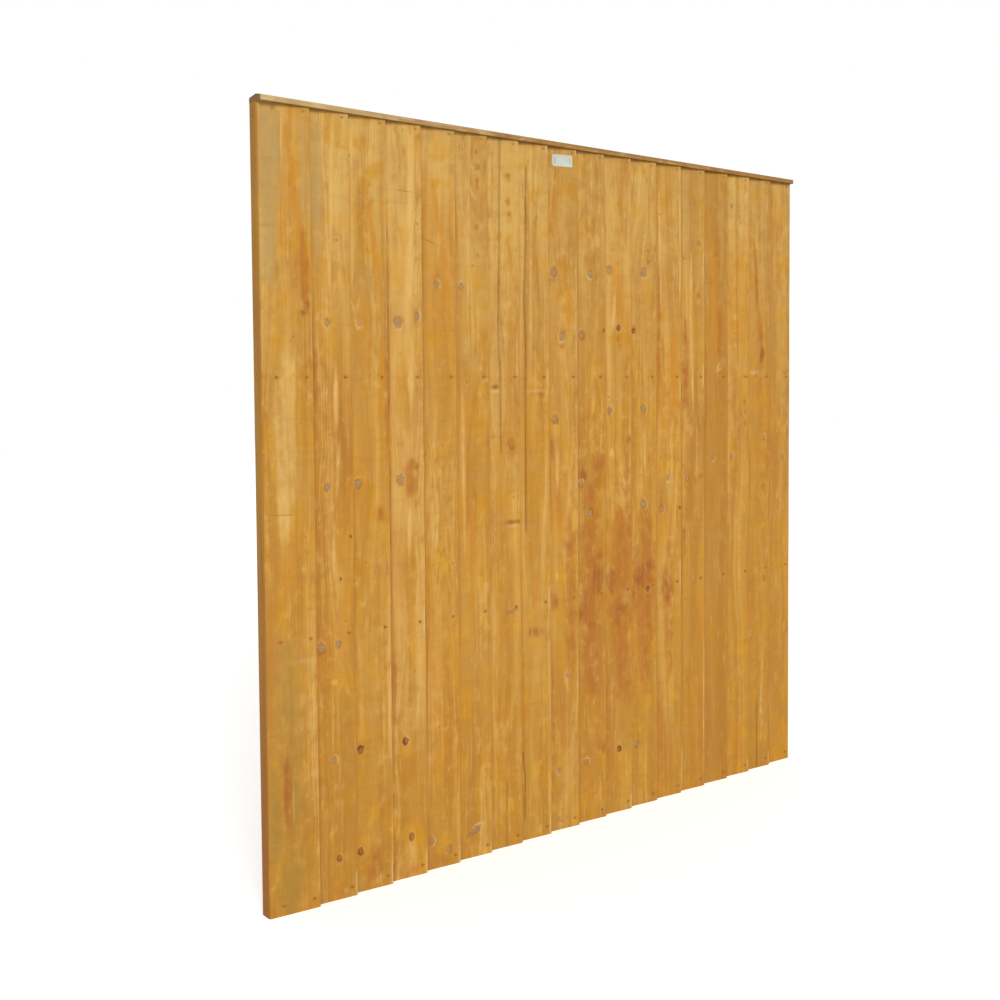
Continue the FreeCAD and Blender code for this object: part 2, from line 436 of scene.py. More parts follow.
# Streaks: points from head to foot as x, y and half width in mm, then how strong
streaks = {
    "orange": [
        ([(286, 116, 3), (288, 150, 6), (294, 190, 9), (299, 230, 13), (303, 262, 15),
          (306, 292, 13)], 1.0),
        ([(365, 182, 2), (369, 215, 7), (375, 252, 10), (381, 300, 10)], 1.0),
        ([(431, 170, 5), (435, 205, 8), (442, 240, 8), (447, 290, 12), (449, 330, 10)], 0.9),
        ([(508, 240, 3), (512, 275, 10), (512, 320, 9), (511, 345, 5)], 0.8),
        ([(568, 278, 6), (569, 300, 13), (568, 328, 10)], 1.0),
        ([(381, 335, 8), (382, 400, 9), (381, 440, 5)], 1.0),
        ([(672, 322, 10), (674, 350, 20), (674, 385, 24), (675, 412, 16)], 0.9),
        ([(713, 245, 14), (714, 300, 20), (717, 330, 22), (719, 362, 12)], 0.9),
        ([(660, 255, 4), (663, 290, 9), (664, 330, 8)], 0.6),
        ([(617, 268, 5), (620, 292, 14), (622, 322, 9)], 1.0),
        ([(668, 255, 4), (669, 275, 9), (669, 300, 6)], 0.7),
        ([(762, 290, 5), (763, 320, 9), (763, 365, 8)], 0.6),
        ([(430, 560, 6), (432, 640, 10), (433, 720, 8)], 0.6),
        ([(471, 470, 6), (472, 560, 10), (473, 650, 8)], 0.6),
        ([(535, 560, 8), (536, 610, 12), (537, 650, 10)], 0.6),
        ([(700, 560, 8), (700, 620, 14), (701, 690, 10)], 0.6),
        ([(365, 300, 14), (366, 335, 20), (366, 380, 14)], 0.7),
    ],
    "brown": [
        ([(302, 225, 7), (304, 260, 11), (305, 305, 12)], 1.0),
        ([(287, 757, 9), (287, 795, 13), (290, 832, 9)], 1.0),
        ([(313, 340, 6), (314, 395, 11), (315, 440, 8)], 0.7),
        ([(408, 456, 12), (413, 475, 22), (410, 500, 13)], 1.0),
        ([(386, 330, 3), (387, 400, 7), (388, 460, 6)], 0.6),
        ([(552, 640, 6), (554, 720, 8), (553, 800, 5)], 0.6),
        ([(524, 660, 6), (524, 740, 8), (523, 810, 5)], 0.6),
        ([(592, 480, 20), (592, 600, 42), (592, 700, 20)], 0.9),
        ([(645, 500, 20), (645, 590, 45), (646, 690, 20)], 0.9),
        ([(620, 500, 18), (620, 600, 38), (620, 700, 20)], 0.9),
        ([(570, 510, 12), (571, 600, 30), (571, 680, 12)], 0.75),
        ([(669, 530, 10), (669, 600, 28), (670, 680, 14)], 0.6),
        ([(597, 445, 12), (600, 480, 20), (598, 520, 14)], 0.6),
        ([(627, 440, 8), (626, 480, 12), (628, 520, 10)], 0.6),
        ([(575, 415, 4), (575, 432, 6), (576, 452, 4)], 0.8),
        ([(754, 235, 5), (756, 275, 9), (757, 310, 7)], 0.9),
        ([(759, 312, 7), (761, 335, 12), (762, 366, 10)], 1.0),
        ([(658.5, 262, 5), (659, 330, 7), (658.5, 392, 5)], 0.9),
        ([(685, 318, 9), (686, 350, 14), (686, 402, 12)], 0.9),
        ([(718, 303, 9), (720, 335, 13), (720, 360, 9)], 0.8),
        ([(394, 655, 6), (394, 690, 9), (394, 725, 5)], 0.9),
    ],
    "pale": [
        ([(281, 103, 2), (281, 135, 3), (282, 168, 2)], 0.8),
        ([(334, 108, 4), (332, 150, 6), (330, 230, 5), (329, 290, 3)], 0.7),
        ([(350, 122, 4), (351, 170, 4), (352, 240, 4), (352, 300, 3)], 0.8),
        ([(411, 130, 9), (410, 200, 11), (409, 280, 9), (409, 310, 5)], 0.9),
        ([(411, 340, 8), (411, 385, 9), (411, 420, 3)], 1.0),
        ([(410, 510, 7), (410, 535, 8), (409, 560, 3)], 0.9),
        ([(462, 378, 6), (463, 450, 6), (465, 555, 4)], 0.8),
        ([(334, 530, 4), (333, 555, 6), (333, 577, 3)], 0.9),
        ([(437, 529, 3), (437, 538, 4), (437, 549, 2)], 0.8),
        ([(761, 640, 10), (761, 700, 14), (761, 745, 8)], 0.45),
        ([(336, 372, 4), (336, 395, 7), (337, 424, 4)], 1.0),
        ([(440, 140, 4), (440, 200, 5), (438, 260, 3)], 0.6),
        ([(468, 190, 4), (468, 260, 6), (468, 330, 4)], 0.5),
        ([(530, 160, 5), (531, 260, 8), (531, 360, 6)], 0.6),
        ([(517, 330, 4), (517, 370, 5), (517, 395, 3)], 0.7),
        ([(614.5, 292, 2), (614, 312, 9), (613, 330, 17)], 1.0),
        ([(659, 190, 4), (660, 260, 5), (661, 306, 3)], 0.9),
        ([(691, 260, 5), (691, 310, 6), (692, 400, 6)], 1.0),
        ([(613, 200, 2), (614, 215, 4), (614, 232, 2)], 0.8),
        ([(557, 445, 5), (557, 470, 7), (557, 492, 4)], 1.0),
        ([(549, 640, 3), (549, 700, 4), (549, 760, 3)], 0.5),
        ([(340, 440, 5), (338, 470, 8), (336, 500, 6)], 0.5),
        ([(288, 350, 20), (285, 450, 30), (285, 545, 20)], 0.8),
        ([(403, 600, 5), (404, 640, 6), (404, 680, 4)], 0.7),
        ([(476, 560, 6), (476, 620, 8), (476, 680, 6)], 0.4),
        ([(644, 425, 8), (644, 450, 12), (645, 470, 6)], 0.6),
        ([(697, 400, 4), (697, 450, 5), (697, 500, 3)], 0.5),
        ([(739, 500, 5), (739, 560, 7), (739, 620, 5)], 0.4),
        ([(347, 295, 2), (353, 306, 3), (356, 317, 2)], 0.9),
        ([(704, 640, 4), (704.5, 710, 5), (704.5, 785, 4)], 0.9),
        ([(681, 740, 4), (681.5, 765, 5), (681.5, 790, 4)], 0.9),
        ([(680, 200, 4), (680, 250, 5), (680, 302, 4)], 0.9),
        ([(389.5, 680, 3), (389.5, 720, 4), (389.5, 770, 3)], 0.8),
        ([(360, 295, 2), (358, 306, 3), (358, 316, 2)], 0.7),
        ([(458.5, 780, 2), (458.5, 815, 3), (459, 848, 3)], 0.8),
        ([(549, 758, 2), (549, 785, 3), (549, 815, 3)], 0.8),
    ],
    "olive": [
        ([(288, 640, 34), (290, 760, 42), (292, 890, 46)], 0.6),
        ([(268, 103, 30), (269, 150, 36), (268, 200, 26), (268, 280, 14)], 1.0),
        ([(303, 115, 6), (304, 170, 8), (304, 210, 5)], 0.8),
        ([(318, 120, 12), (318, 190, 16), (318, 260, 10)], 0.95),
        ([(393, 130, 8), (395, 200, 10), (396, 260, 6)], 0.5),
        ([(685, 175, 8), (685, 205, 14), (686, 255, 10)], 0.45),
        ([(744, 175, 8), (744, 230, 10), (744, 280, 6)], 0.5),
        ([(765, 180, 8), (766, 240, 10), (766, 300, 6)], 0.5),
        ([(772, 300, 6), (772, 340, 9), (773, 380, 6)], 0.5),
        ([(278, 690, 16), (280, 720, 22), (282, 750, 14)], 0.5),
        ([(276, 770, 14), (277, 830, 18), (278, 870, 14)], 0.9),
        ([(288, 840, 26), (290, 880, 36), (292, 915, 30)], 1.0),
        ([(285, 390, 20), (285, 455, 28), (285, 525, 18)], 0.7),
    ],
}

# Dabs of stain, torn grain and bare wood: kind, x, y, half width and half height in mm, strength
dabs = [
    ("red", 287.5, 795, 9, 80, 0.95), ("pale", 293.5, 805, 2, 45, 0.9), ("red", 307, 305, 8, 15, 1.0),
    ("red", 303, 312, 12, 7, 0.9), ("red", 494, 387, 16, 6, 1.0), ("bare", 495, 391.5, 14, 3, 0.9),
    ("red", 490, 395, 6, 10, 0.5), ("bare", 536, 390.5, 32, 3, 0.6), ("red", 542, 395, 15, 9, 0.7),
    ("red", 493, 437, 16, 6, 0.5), ("red", 489, 443, 9, 14, 0.5), ("red", 552, 445, 10, 39, 0.49),
    ("red", 583, 475, 19, 16, 0.74), ("red", 584, 497, 11, 39, 0.49), ("red", 621, 484, 28, 9, 0.49),
    ("red", 628, 439, 22, 15, 0.57), ("red", 701, 476, 22, 8, 0.8), ("red", 684, 541, 10, 51, 0.49),
    ("red", 661, 491, 9, 41, 0.49), ("red", 721, 352, 14, 12, 0.6), ("red", 762, 355, 11, 28, 0.8),
    ("bare", 735, 317, 6, 8, 0.8), ("bare", 735, 345, 4, 5, 0.5), ("pale", 612, 454, 10, 18, 0.8),
    ("bare", 278, 107, 4, 6, 0.8), ("red", 619, 345, 14, 14, 0.6), ("red", 562, 346, 12, 8, 0.5),
    ("red", 597, 579, 21, 44, 0.82), ("red", 611, 578, 25, 39, 0.66), ("red", 641, 578, 28, 37, 0.82),
    ("red", 602, 556, 32, 16, 0.57), ("red", 650, 566, 20, 23, 0.57), ("red", 667, 588, 25, 53, 0.66),
    ("red", 634, 592, 12, 23, 0.66), ("red", 619, 610, 22, 18, 0.82), ("red", 617, 620, 12, 25, 0.74),
    ("red", 536, 632, 24, 16, 0.8), ("red", 661, 590, 15, 69, 0.49), ("pale", 666, 556, 8, 22, 0.6),
    ("red", 554, 600, 15, 41, 0.74), ("brown", 381, 516, 18, 22, 0.9), ("red", 418, 466, 13, 12, 0.6),
    ("red", 583, 606, 18, 51, 0.74), ("brown", 595, 600, 26, 40, 0.8), ("brown", 632, 615, 20, 50, 0.7),
    ("red", 593, 624, 32, 12, 0.49), ("red", 553, 686, 12, 30, 0.49), ("red", 631, 685, 22, 69, 0.41),
    ("brown", 603, 747, 24, 14, 0.8), ("pale", 557, 576, 7, 16, 0.8), ("brown", 571, 545, 26, 60, 0.8),
    ("brown", 569, 640, 20, 60, 0.7), ("brown", 600, 464, 30, 32, 0.9), ("brown", 628, 530, 18, 70, 0.7),
    ("brown", 697, 482, 14, 20, 0.6), ("orange", 590, 505, 20, 40, 0.6), ("orange", 610, 545, 26, 50, 0.6),
    ("red", 375, 858, 22, 18, 0.4), ("red", 388, 862, 8, 24, 0.5), ("bare", 346, 890, 4, 4, 0.6),
    ("bare", 754, 372.5, 20, 5, 0.8), ("pale", 783, 362, 20, 12, 0.5), ("red", 562, 792, 14, 26, 0.5),
    ("red", 514, 521.5, 22, 6, 0.9), ("bare", 514, 525.5, 20, 3, 0.6), ("brown", 375, 868, 34, 45, 0.9),
    ("brown", 408, 872, 32, 25, 0.7), ("brown", 440, 860, 28, 20, 0.5), ("brown", 340, 890, 30, 18, 0.5),
    ("bare", 304, 661, 30, 4, 0.4), ("pale", 335, 682, 10, 8, 0.7), ("red", 711, 281, 10, 16, 0.4),
]

# Splits: points from head to foot
splits = [
    [(499.5, 120), (499, 240), (498, 330), (500, 380), (501, 455)],
    [(507, 780), (507, 810), (507.5, 870)],
    [(526, 163), (525.5, 240), (524, 300), (526, 350), (525.5, 396), (526, 470), (526, 535)],
    [(522.5, 750), (525.5, 775), (525, 820)],
    [(756.5, 698), (756.5, 730), (756.5, 785)],
]

# Where the thick edge has lost its stain: x of the edge, y from head to foot
bareEdges = [
    (356, 872, 896), (391, 866, 890), (426, 850, 878), (633, 792, 812), (547, 143, 153), (548, 368, 387),
    (460, 846, 866), (577, 148, 155), (550, 815, 832), (491, 844, 853), (747, 759, 768), (768, 752, 762),
    (424, 608, 632), (549, 588, 608), (681, 560, 586), (705, 252, 275), (705, 365, 386), (681, 380, 400),
]

# Tone of each board, from left to right: lighter is above 0
boardTones = [
    -0.15, -0.1, 0.0, 0.35, 0.0, 0.15, 0.3, 0.2, 0.0, -0.1, -0.1, -0.15, -0.1, -0.3, -0.55, 0.0, -0.3, -0.2,
]
# How much stain has gathered, with painted shade, in the corner where the board before laps over each
lapStainAndShade = [
    0.0, 0.8, 0.25, 1.3, 0.9, 0.6, 0.6, 0.5, 0.5, 1.2, 0.9, 0.6, 0.8, 0.9, 1.0, 1.0, 0.5, 0.5,
]

nailLayout = {"fromThickEdge": 0.016, "fromThinEdge": 0.034, "fromHead": 0.010}
railNames = ("bottom_rail", "lower_rail", "upper_rail", "top_rail")
nailRows = [sum(corner.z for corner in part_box(name)) / 2 for name in railNames[:-1]]
nailRows.append(boardLength - nailLayout["fromHead"])


# Nails of a board, as distance from the thin edge and height
def nailSpots(number):
    across = [boardWidth - nailLayout["fromThickEdge"]]
    if number == 0:
        across.insert(0, nailLayout["fromThinEdge"])
    return [(a, up) for up in nailRows for a in across]


def boardTree():
    inputs = {
        "Width": "Float", "Thin Edge": "Float", "Thick Edge": "Float", "Arris": "Float", "Length": "Float",
        "Columns": "Int", "Row Step": "Float", "Edge Wave": "Float", "Face Wave": "Float", "Seed": "Float",
        "Lean": "Float", "Place": "Vector", "Wood": "Material",
    }
    root, given, end = newTree("featherEdgeBoard", inputs)
    width, thin, thick, arris = (given[n] for n in ("Width", "Thin Edge", "Thick Edge", "Arris"))
    flat = width - arris
    flatEnd = 0 - thin - flat * (thick - thin) / width
    corners = [(0.0, 0.0), (0.0, 0 - thin), (flat, flatEnd), (width, arris - thick), (width, 0.0)]
    index = root.add("GeometryNodeInputIndex")
    front, edge, back = (index.calc("COMPARE", number, 0.1) for number in (1.0, 3.0, 4.0))
    cuts = front * (given["Columns"] - 1) + back * boards["backCuts"] + edge * boards["edgeCuts"]
    section = {"Curve": outline(root, corners), "Cuts": cuts}
    section = root.add("GeometryNodeSubdivideCurve", None, section)
    top = root.vector(0.0, 0.0, given["Length"])
    line = root.add("GeometryNodeCurvePrimitiveLine", None, {"End": top})
    rows = {"Curve": line, "Length": given["Row Step"]}
    rows = root.add("GeometryNodeResampleCurve", {"mode": "LENGTH"}, rows)
    swept = {"Curve": rows, "Profile Curve": section, "Fill Caps": True}
    swept = root.add("GeometryNodeCurveToMesh", None, swept)

    # the saw wandered: the thick edge strays a little, and the face is not quite flat
    x, y, z = root.add("GeometryNodeInputPosition").parts()
    wavesAcross, wavesUp = boards["faceWaves"]
    stray = root.vector(given["Seed"], 0.0, z * boards["edgeWaves"]).noise(3.0) - 0.5
    swell = root.vector(x * wavesAcross + given["Seed"], 5.0, z * wavesUp).noise(2.0) - 0.5
    aside = stray * 2.0 * given["Edge Wave"] * x.ease(width * boards["edgeFrom"], width)
    out = swell * 2.0 * given["Face Wave"] * (0 - y) / thick
    shift = {"Geometry": swept, "Offset": root.vector(aside, out, 0.0)}
    rough = root.add("GeometryNodeSetPosition", None, shift)
    turn = root.vector(0.0, 0.0, 0 - given["Lean"])
    put = {"Geometry": rough, "Translation": given["Place"], "Rotation": turn}
    endTree(root, root.add("GeometryNodeTransform", None, put), given["Wood"], end)
    return root.tree


# Stained softwood of the boards
pine = {
    "gold": (0.606, 0.303, 0.046),
    "head": (0.680, 0.433, 0.122),     # greyer towards the head
    "foot": (0.490, 0.246, 0.034),     # browner towards the foot
    "dull": (0.560, 0.305, 0.080),
    "clear": (0.640, 0.305, 0.020),
    "pale": (0.770, 0.475, 0.142),
    "deep": (0.420, 0.182, 0.030),
    "orange": (0.600, 0.255, 0.030),
    "brown": (0.450, 0.165, 0.028),
    "olive": (0.488, 0.322, 0.114),
    "oliveFoot": (0.385, 0.218, 0.044),
    "red": (0.370, 0.120, 0.030),
    # stain with painted shade, beside each lap
    "lap": (0.400, 0.150, 0.038),
    "bare": (0.770, 0.590, 0.255),
    # dark dirt, also used as painted shade under the cap, in splits, in lap corners and beside knots
    "grimeAndShade": (0.170, 0.068, 0.022),
    "knotGrey": (0.335, 0.238, 0.138),
    "knotDark": (0.085, 0.030, 0.020),
    "knotHeart": (0.240, 0.120, 0.072),
    "knotRed": (0.420, 0.160, 0.030),
    "knotPale": (0.500, 0.290, 0.090),
    "ringStep": 0.0046,
    "roughness": 0.62,
    "shine": 0.1,
}


# Length of a flat vector from its two parts
def spanOf(x, y):
    return (x * x + y * y).calc("SQRT")


# Grain of a sawn board: rings cut at a slant, bands along them, streaks, fibres and mottling
def grainOf(root, across, depth, up, seed, heart):
    wander = root.vector(up * 1.1, seed * 13.0, 0.0).noise(1.0) - 0.5
    buried = root.vector(up * 1.5, seed * 7.0, 4.0).noise(1.0) * 0.09 + 0.004
    aside = across - heart - wander * 0.05
    reach = spanOf(aside, buried) + depth * 0.5
    fray = root.vector(across * 60.0, seed, up * 5.0).noise(2.0) * 0.0012
    uneven = root.vector(reach * 30.0, seed * 3.0, 1.0).noise(1.0) * 2.5
    ring = ((reach + fray) / pine["ringStep"] + uneven).calc("FRACT")
    return {
        "late": ring.ease(0.3, 0.85) * ring.ease(1.0, 0.92),
        "bands": root.vector(reach * 70.0, seed * 31.0, up * 0.5).noise(2.0, 0.6),
        "wide": root.vector(across * 30.0, seed * 19.0, up * 1.5).noise(2.0, 0.55),
        "streaks": root.vector(across * 120.0, seed * 17.0, up * 3.0).noise(2.0),
        "mottle": root.vector(across * 44.0, seed * 23.0, up * 27.0).noise(3.0, 0.6),
        "cloud": root.vector(across * 21.0, seed * 53.0, up * 15.0).noise(3.0, 0.55),
        "blotch": root.vector(across * 9.0, seed * 5.0, up * 2.2).noise(3.0, 0.55),
        "fibres": root.vector(across * 700.0, depth * 700.0, up * 9.0 + seed * 50.0).noise(2.0),
    }


# A soft mark with its sides torn by the grain
def ragged(mark, torn):
    return (mark + torn * mark.ease(0.0, 0.3)).ease(0.08, 1.0) * (torn + 0.9)


# Knots: a face with a ring and a heart, light on one side of the rim and shade on the other
def knotColour(root, colour, up, seed, rim):
    x, y, here = root.attribute("knotPlace").parts()
    grey, dark, red = root.attribute("knotLook").parts()
    lumps = root.vector(x * 1.4 + seed * 9.0, y * 1.4, up * 5.0).noise(3.0) - 0.5
    flesh = root.vector(x * 3.0 + seed * 5.0, y * 3.0, up * 5.0).noise(2.0)
    span = spanOf(x, y) + lumps * 1.1
    core = span.ease(1.05, 0.25) * here
    ring = span.near(0.68, 0.42) * here
    heart = span.ease(0.5, 0.1) * here
    light = span.near(1.05, 0.4) * x.ease(-0.2, 0.8) * here * rim
    shade = span.near(1.0, 0.4) * x.ease(0.2, -0.7) * here * (1.1 - rim)
    plain = 1 - grey - dark - red
    colour = colour.coated(pine, [
        ("orange", span.ease(2.0, 0.9) * here * 0.3),
        ("knotPale", core * plain * 0.65),
        ("knotRed", core * red * 0.75),
        ("knotGrey", core * grey * 0.9),
        ("red", core * dark * 0.9),
        ("knotDark", ring * dark * (x.ease(0.8, -0.6) * 0.5 + 0.5)),
        ("knotHeart", heart * dark * 0.35),
        ("deep", core * flesh.ease(0.5, 0.7) * 0.6),
        ("bare", core * grey * flesh.ease(0.48, 0.3) * 0.3),
        ("grimeAndShade", ring * grey * flesh.ease(0.3, 0.6) * 0.4),
        # painted highlight on one side of the rim, painted shade on the other
        ("bare", light * (1 - red * 0.8 - dark * 0.4) * 0.42),
        ("grimeAndShade", shade * 0.5),
    ])
    return colour, core


def stainedPine():
    material, root, shader = newMaterial("stainedPine")
    across, depth, up = root.attribute("grainPlace").parts()
    seed, tone, heart = root.attribute("boardLook").parts()
    nailX, nailY, nailHere = root.attribute("nailPlace").parts()
    orange, brown, pale = root.attribute("stain").parts()
    olive, bare, red = root.attribute("wear").parts()
    lap, split, rim = root.attribute("seams").parts()
    sway = root.vector(across * 7.0, seed * 11.0, up * 2.6).noise(2.0) - 0.5
    ripple = root.vector(across * 16.0, seed * 61.0, up * 10.0).noise(2.0) - 0.5
    across = across + sway * 0.022 + ripple * 0.009
    grain = grainOf(root, across, depth, up, seed, heart)
    blotch, cloud, streaky, mottle = (grain[name] for name in ("blotch", "cloud", "streaks", "mottle"))

    # the wood is plainer at the foot, most of all to the right, and duller towards the head
    side = objectPlace(root)[0]
    calm = (side.ease(-0.6, -0.1) * 0.5 + side.ease(0.1, 0.6) * 0.5) * up.ease(1.0, 0.4)
    lively = root.vector(across * 12.0, seed * 47.0, up * 2.5).noise(2.0).ease(0.4, 0.6) * 0.8 + 0.3
    lively = lively * (1.0 - calm * 0.6)
    fade = up.ease(0.3, 1.7) * 0.6 + 0.4
    hue = root.vector(across * 5.0, seed * 67.0, up * 2.8).noise(2.0)
    light = grain["bands"] * 0.6 + grain["wide"] * 0.4 + tone * 0.08
    saw = root.vector(across * 12.0, seed, up * 60.0).noise(2.0)
    specks = root.vector(across * 150.0, seed * 29.0, up * 60.0).noise(1.0)
    flecks = root.vector(across * 220.0, seed * 37.0, up * 15.0).noise(1.0)

    # stain: paler at the head, browner at the foot, blotched, banded along the grain
    colour = (up + blotch * 0.6).ease(0.1, 1.3).between(pine["foot"], pine["gold"])
    colour = colour.coated(pine, [
        ("head", (up + blotch * 0.5).ease(1.3, 2.05) * 0.9),
        ("dull", cloud.ease(0.49, 0.68) * fade * 0.6),
        ("clear", cloud.ease(0.52, 0.32) * 0.75),
        ("dull", hue.ease(0.48, 0.68) * fade * 0.5),
        ("orange", hue.ease(0.5, 0.32) * 0.5),
        ("pale", light.ease(0.5, 0.66) * (1.0 - calm * 0.5) * 0.55),
        ("deep", light.ease(0.5, 0.36) * 0.45),
        ("brown", blotch.ease(0.48, 0.7) * up.ease(2.0, 1.1) * 0.5),
        ("pale", streaky.ease(0.52, 0.68) * lively * 0.3),
        ("deep", streaky.ease(0.46, 0.3) * lively * 0.28),
        ("deep", mottle.ease(0.5, 0.7) * lively * 0.45),
        ("pale", mottle.ease(0.48, 0.29) * lively * 0.42),
        ("deep", tone.ease(0.0, -1.0) * 0.8),
        ("deep", grain["late"] * lively * 0.24),
        ("deep", grain["fibres"].ease(0.45, 0.75) * 0.08),
        ("deep", saw.ease(0.52, 0.75) * (1.2 - lively) * 0.22),
        ("red", specks.ease(0.74, 0.8) * 0.55),        # specks of resin
        ("pale", flecks.ease(0.68, 0.78) * 0.35),      # short pale flecks
    ])

    # what the photo shows keeps ragged sides
    torn = (streaky - 0.5) * 0.7 + (mottle - 0.5) * 1.1
    oliveHere = up.ease(0.3, 1.3).between(pine["oliveFoot"], pine["olive"])
    colour = colour.tinted(oliveHere, ragged(olive, torn) * 0.82)
    colour = colour.coated(pine, [
        ("deep", olive * saw.ease(0.5, 0.75) * 0.25),
        ("pale", ragged(pale, torn) * 0.75),
        ("orange", ragged(orange, torn) * 0.82),
        ("brown", ragged(brown, torn) * 0.85),
        ("red", ragged(red, torn) * 0.85),
    ])

    # stain gathered and painted shade beside the lap, in patches, less of it near the head, with darker
    # dashes of both in the corner
    patch = root.vector(seed * 41.0, 0.0, up * 4.5).noise(2.0).ease(0.3, 0.62) * 0.7 + 0.3
    dashes = root.vector(seed * 43.0, across * 30.0, up * 17.0).noise(2.0).ease(0.5, 0.66)
    colour = colour.coated(pine, [
        ("lap", lap * patch * up.ease(2.1, 1.2) * 0.75),
        ("grimeAndShade", lap.ease(0.6, 1.0) * patch * dashes * 0.45),
    ])
    colour, core = knotColour(root, colour, up, seed, rim)

    # dirt round the nails with a short tear, less at the head, then painted shade under the cap, bare wood,
    # painted shade in the splits
    topRow = nailRows[-1]
    nailSpan = spanOf(nailX, nailY)
    nailHere = nailHere * (up.ease(topRow - 0.04, topRow - 0.06) * 0.6 + 0.4)
    tear = nailY.near(0.0, 2.2) * nailX.ease(16.0, 3.0) * nailX.ease(-3.0, 1.0)
    colour = colour.coated(pine, [
        ("red", nailSpan.ease(8.0, 2.0) * nailHere * 0.35),
        ("red", tear * nailHere * blotch.ease(0.35, 0.55) * 0.8),
        ("grimeAndShade", up.ease(boardLength - 0.003, boardLength - 0.001) * 0.4),
        ("bare", bare * (mottle * 0.9 + 0.3) * 0.72),
        ("grimeAndShade", split * 0.37),
    ])
    colour.into(shader, "Base Color")

    (grain["fibres"] * 0.16 + pine["roughness"] - core * 0.1).into(shader, "Roughness")
    rough = root.vector(across * 9.0, seed, up * 620.0).noise(1.0)
    height = grain["fibres"] * 0.35 + grain["late"] * 0.25 + rough * 0.3 - core * 0.4
    height.bump(0.45, 0.0008).into(shader, "Normal")
    shader.inputs["Specular IOR Level"].default_value = pine["shine"]
    return material


# How the marks lie on a board, in metres where nothing else is said
marking = {
    "front": (0.7, 0.95),        # share of a board's depth where its front starts, and is full
    "onFront": 0.9,              # only points that are this much on the front are carved
    "splitOpen": 0.0006,         # half the width of a split
    "splitDeep": 0.003,
    "splitReach": 6,             # columns beside a split that move over with it
    "splitFade": 0.02,           # over which a split closes at its ends
    "splitShade": 0.0022,         # from a split's middle out, how far its painted shade reaches
    "edgeChip": 0.0016,          # how much is gone where the thick edge is bare
    "chipFrom": 0.003,           # back from the thick edge, like the next two
    "bareFrom": 0.009,           # where bare wood starts
    "bareFull": 0.002,           # and is full
    "bareFade": 0.012,           # over which a bare edge ends
    "besideEdge": 4,             # pixels left of an edge, surely on its board
    "knotHollow": 0.0006,
    "knotStretch": 1.3,          # height of a round knot over its width
    "knotReach": 2.4,            # a knot's rings end this many radii out,
    "knotToNext": 0.48,          # or at this share of the way to its neighbour,
    "knotFade": 0.75,            # and fade from this share of their reach
    "knotStrength": (0.75, 1),   # least and most of its kind's colour
    "knotRim": (0.15, 1),        # least and most light on its rim
    "bendAlong": 0.35,           # how soon the bend of the grain round a knot ends along the board
    "bendSoft": 0.6,
    "cloudWide": 1.5,            # stain above or below a knot, in its radii
    "cloudTall": 4,
    "cloudLift": 2,
    "cloudShare": 0.4,
    "streakFade": 0.06,          # over which a streak ends, or a third of a short one
    "lapFrom": 0.018,            # from the lap, where its stain and painted shade start
    "lapFull": 0.003,            # and is full
    "nailDirt": (40, 25),        # in mm from a nail, where its dirt is gone and where it starts to go
    "firstSeed": 40,
}


def metres(*lengths):
    return [length / 1000 for length in lengths]


def turned(x, y, angle):
    return x * math.cos(angle) - y * math.sin(angle), x * math.sin(angle) + y * math.cos(angle)


# Gathers the photo's marks on each board, in metres from the board's own corner
def marksOnBoards():
    marks = [{"knots": [], "streaks": [], "dabs": [], "splits": [], "bare": []} for _ in boardNames]
    for kind, spots in knots.items():
        for px, py, radius in spots:
            number, across, up = onBoard(px, py)
            half = metres(radius, radius * marking["knotStretch"])
            marks[number]["knots"].append((kind, across, up, *half, 0.0))
    for kind, px, py, wide, long, lean in leafKnots:
        number, across, up = onBoard(px, py)
        marks[number]["knots"].append((kind, across, up, *metres(wide, long), math.radians(lean)))
    for kind, lines in streaks.items():
        for points, strength in lines:
            number = onBoard(*points[len(points) // 2][:2])[0]
            line = [(*onBoard(px, py, number)[1:], *metres(half)) for px, py, half in reversed(points)]
            marks[number]["streaks"].append((kind, np.array(line), strength))
    for kind, px, py, wide, high, strength in dabs:
        number, across, up = onBoard(px, py)
        marks[number]["dabs"].append((kind, across, up, *metres(wide, high), strength))
    for points in splits:
        number = onBoard(*points[len(points) // 2])[0]
        line = [onBoard(px, py, number)[1:] for px, py in reversed(points)]
        marks[number]["splits"].append(np.array(line))
    for px, head, foot in bareEdges:
        number = onBoard(px - marking["besideEdge"], (head + foot) / 2)[0]
        marks[number]["bare"].append((onBoard(px, foot, number)[2], onBoard(px, head, number)[2]))
    return marks


def easing(values, low, high):
    share = np.clip((values - low) / (high - low), 0, 1)
    return share * share * (3 - 2 * share)


# Points of a board in its own frame, and how much each belongs to its front
def boardSpots(piece, number):
    spots = np.empty(len(piece.data.vertices) * 3)
    piece.data.vertices.foreach_get("co", spots)
    inward = np.array(boardPlaces[number].inverted())
    local = spots.reshape(-1, 3) @ inward[:3, :3].T + inward[:3, 3]
    return local, easing(local[:, 1] / frontAt(local[:, 0]), *marking["front"])


# 1 at heights from low to high and 0 past them, with a soft change at each end
def alongLine(up, low, high, fade):
    return easing(up, low - fade, low + fade) * easing(up, high + fade, high - fade)


